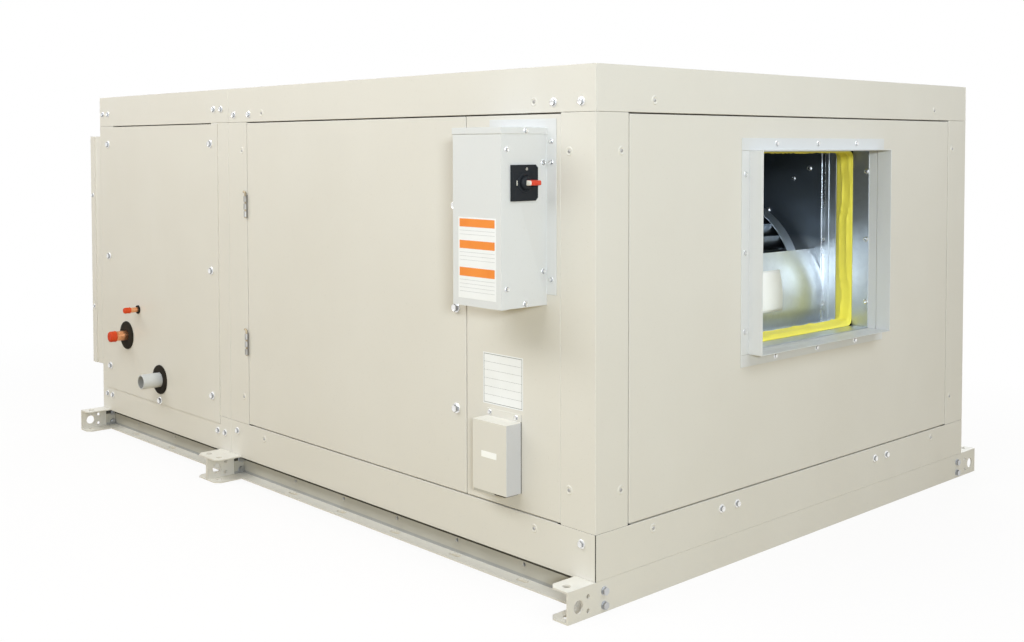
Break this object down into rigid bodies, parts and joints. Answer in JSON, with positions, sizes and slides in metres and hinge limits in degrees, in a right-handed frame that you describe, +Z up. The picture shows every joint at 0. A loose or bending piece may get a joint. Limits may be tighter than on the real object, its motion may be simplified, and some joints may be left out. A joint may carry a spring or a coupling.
{
  "type": "horizontal air handling unit",
  "caption": "Horizontal indoor air-handling unit: framed coil and blower sections on hanger rails, with hinged access door, belt-driven blower, filter rack and discharge collar.",
  "frame": {"origin": "midway between the four corner hanger holes, on the underside plane of the base rails", "axes": "+X along the airflow toward the discharge collar, -Y toward the service side with the door and the switch, +Z up"},
  "size_m": [1.932, 1.4225, 0.904],
  "materials": {
    "beige_paint": "powder coat, low sheen",
    "galvanised_sheet": "galvanised, light spangle",
    "zinc_fastener": "zinc plated",
    "hinge_steel": "plain steel",
    "yellow_fabric": "coated woven fabric",
    "filter_media": "pleated media in a card frame",
    "fin_aluminium": "plain fins",
    "copper_tube": "bare copper",
    "grey_pvc": "satin",
    "black_rubber": "matt",
    "red_plastic": "soft plastic",
    "shaft_steel": "ground",
    "cast_iron": "painted casting",
    "motor_paint": "enamel",
    "black_plastic": "satin",
    "red_handle": "gloss"
  },
  "bodies": {
    "casing": {"base_side_rails": "beige_paint", "base_end_rails": "beige_paint", "base_mid_rails": "beige_paint", "base_bolts": "zinc_fastener", "coil_posts": "beige_paint", "coil_rails": "beige_paint", "blower_posts": "beige_paint", "blower_rails": "beige_paint", "door_mullion": "galvanised_sheet", "frame_screws": "zinc_fastener", "recessed_screws": "beige_paint", "coil_access_panel": "beige_paint", "return_panel": "beige_paint", "rear_panels": "beige_paint", "roof_panels": "beige_paint", "floor_panels": "galvanised_sheet", "blower_fixed_panel": "beige_paint", "frame_hinge_leaves": "hinge_steel", "discharge_panel": "beige_paint", "discharge_collar": "beige_paint", "collar_screws": "zinc_fastener", "flex_strips": "galvanised_sheet", "flex_connector": "yellow_fabric", "filter_rack": "beige_paint", "coil_fins": "fin_aluminium", "coil_plates": "galvanised_sheet", "coil_bends": "copper_tube", "suction_line": "copper_tube", "liquid_line": "copper_tube", "drain_pan": "galvanised_sheet", "drain_pipe": "grey_pvc", "pipe_grommets": "black_rubber", "pipe_caps": "red_plastic", "scroll_sides": "galvanised_sheet", "scroll_wrap": "galvanised_sheet", "cutoff_plate": "galvanised_sheet", "inlet_cones": "galvanised_sheet", "shaft_bearings": "cast_iron", "bearing_brackets": "galvanised_sheet", "drive_belt": "black_rubber", "motor": "motor_paint", "motor_plate": "galvanised_sheet", "blower_base": "galvanised_sheet", "isolators": "black_rubber", "disconnect_box": "beige_paint", "disconnect_lid": "beige_paint", "box_screws": "zinc_fastener", "switch_plate": "black_plastic", "junction_box": "beige_paint"},
    "door": {"access_door": "beige_paint", "door_hinge_leaves": "hinge_steel", "door_fasteners": "zinc_fastener"},
    "switch": {"switch_handle": "red_handle"},
    "blower_rotor": {"blower_wheel": "galvanised_sheet", "blower_shaft": "shaft_steel", "blower_pulley": "cast_iron"},
    "motor_rotor": {"motor_pulley": "cast_iron"},
    "rack_cover": {"filter_cover": "beige_paint", "cover_screws": "zinc_fastener"},
    "filter_set": {"filters": "filter_media"}
  },
  "joints": [
    {"name": "door_hinge", "type": "hinge", "parent": "casing", "child": "door", "pos_m": [-0.15585, -0.63, 0.479], "axis": [0, 0, -1], "range_deg": [0, 120]},
    {"name": "switch_turn", "type": "hinge", "parent": "casing", "child": "switch", "pos_m": [0.8105, -0.68, 0.709], "axis": [-1, 0, 0], "range_deg": [0, 90]},
    {"name": "motor_spin", "type": "hinge", "parent": "casing", "child": "motor_rotor", "pos_m": [0.0725, -0.334, 0.264], "axis": [0, 1, 0], "continuous": true},
    {"name": "blower_spin", "type": "hinge", "parent": "casing", "child": "blower_rotor", "pos_m": [0.5705, 0.015, 0.464], "axis": [0, 1, 0], "continuous": true},
    {"name": "cover_pull", "type": "slide", "parent": "casing", "child": "rack_cover", "axis": [0, -1, 0], "range_m": [0, 0.7]},
    {"name": "filter_slide", "type": "slide", "parent": "casing", "child": "filter_set", "axis": [0, -1, 0], "range_m": [0, 0.63]}
  ],
  "couplings": [
    {"joint": "blower_spin", "follows": "motor_spin", "ratio": 0.46695},
    {"joint": "filter_slide", "follows": "cover_pull", "ratio": 0.9}
  ]
}
